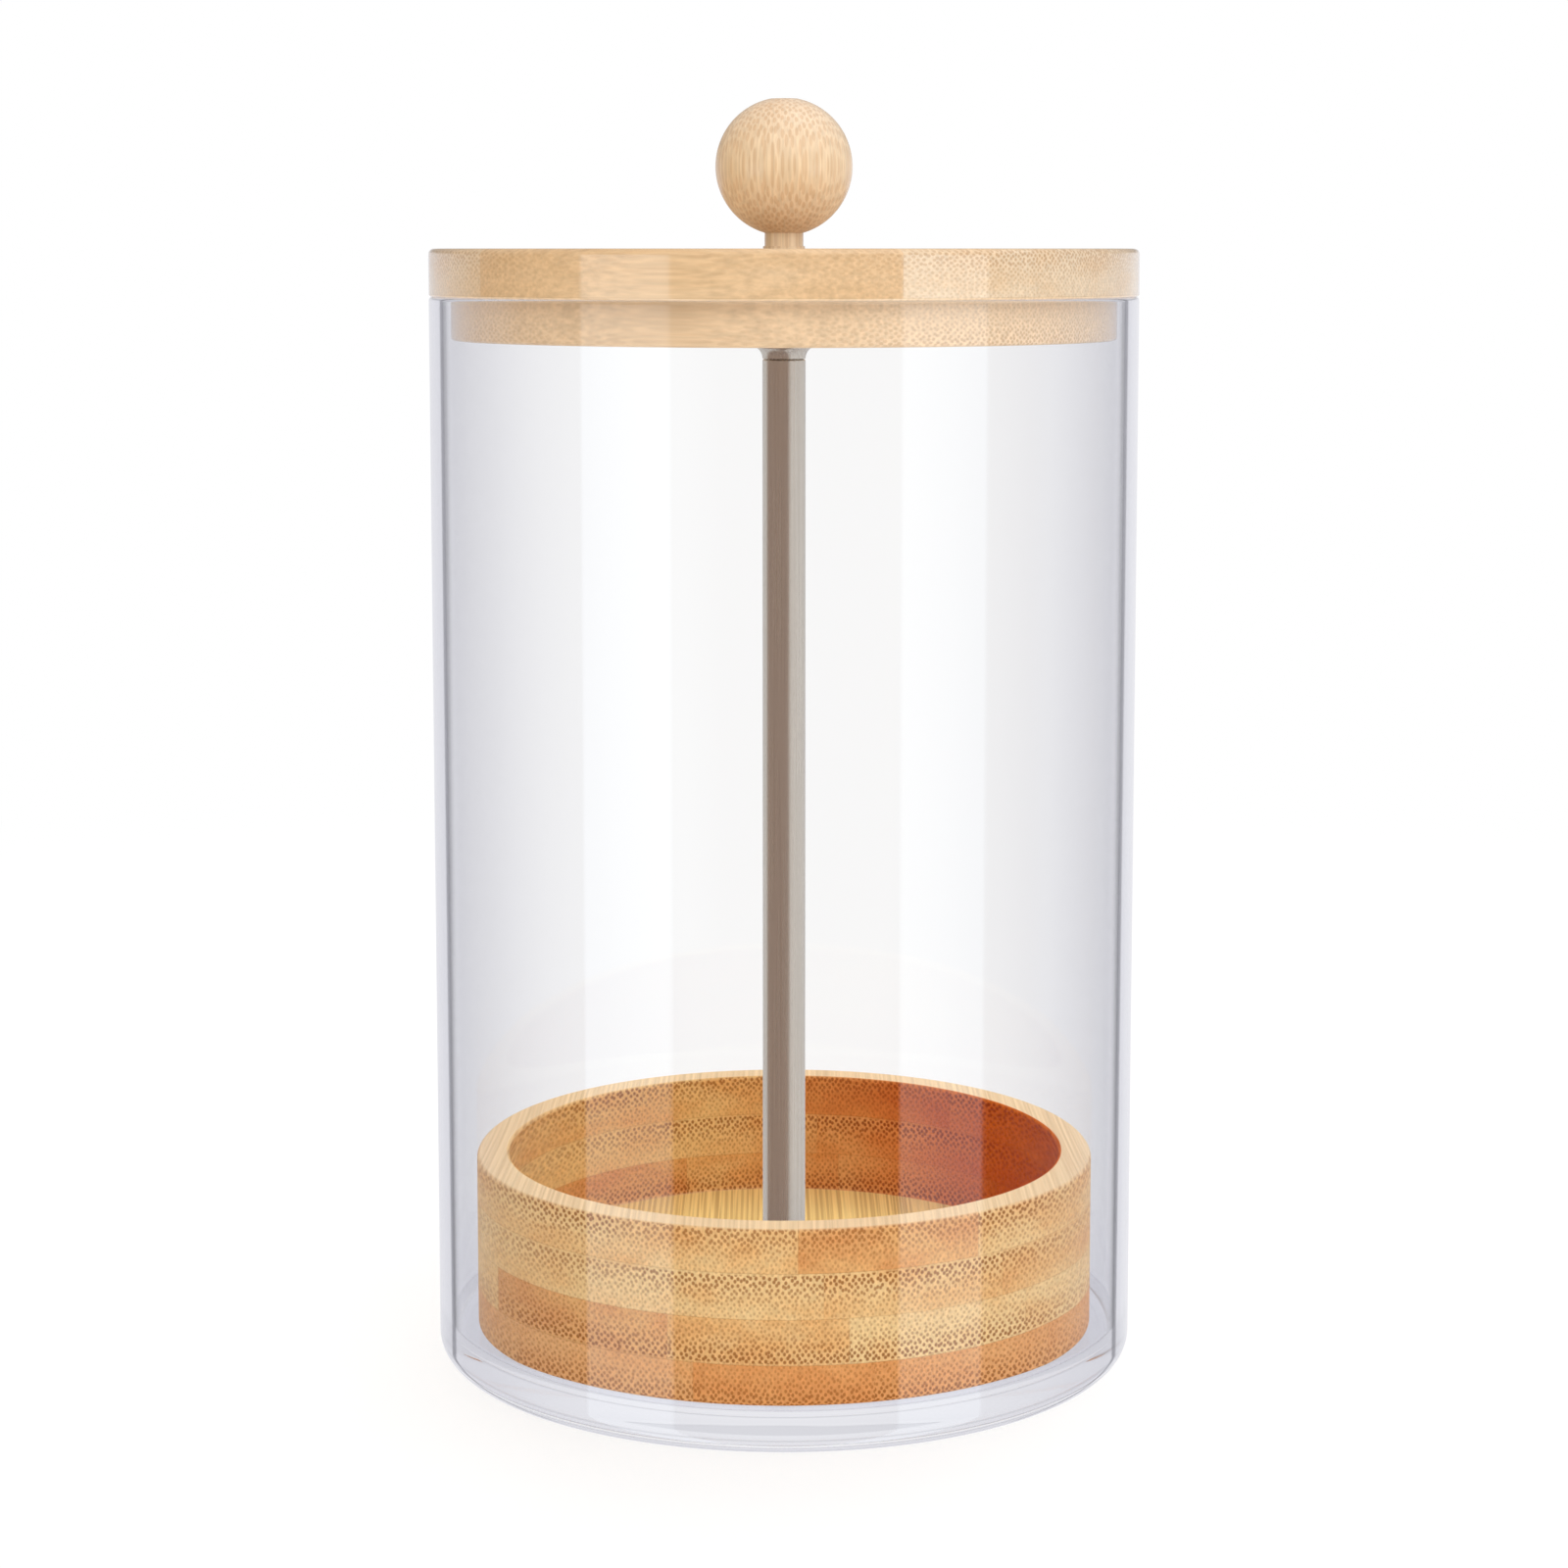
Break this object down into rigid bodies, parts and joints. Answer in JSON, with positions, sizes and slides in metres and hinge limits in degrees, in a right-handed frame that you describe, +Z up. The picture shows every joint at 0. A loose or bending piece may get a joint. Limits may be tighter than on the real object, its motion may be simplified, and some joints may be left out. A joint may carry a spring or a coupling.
{
  "type": "straw dispenser",
  "caption": "Clear round glass jar with a bamboo lid; a ball knob lifts the lid, a steel rod and a bamboo cup together, so straws standing in the cup rise and fan out.",
  "frame": {"origin": "centre of the underside of the jar, on the surface it stands on", "axes": "+Z up along the jar's axis, the way the insert lifts; the front is towards -Y"},
  "size_m": [0.15, 0.15, 0.2694],
  "materials": {
    "clear_glass": "clear pressed soda-lime glass",
    "lid_bamboo": "lacquered laminated bamboo",
    "knob_bamboo": "lacquered turned bamboo",
    "cup_bamboo": "oiled laminated bamboo",
    "rod_steel": "satin drawn stainless steel",
    "fastener_steel": "zinc-plated steel"
  },
  "bodies": {
    "jar": {"jar": "clear_glass"},
    "insert": {"lid": "lid_bamboo", "knob": "knob_bamboo", "hanger_bolt": "fastener_steel", "rod_ferrule": "rod_steel", "lift_rod": "rod_steel", "lift_cup": "cup_bamboo", "cup_washer": "fastener_steel", "cup_screw": "fastener_steel"}
  },
  "joints": [
    {"name": "insert_lift", "type": "slide", "parent": "jar", "child": "insert", "axis": [0, 0, 1], "range_m": [0, 0.226]}
  ]
}
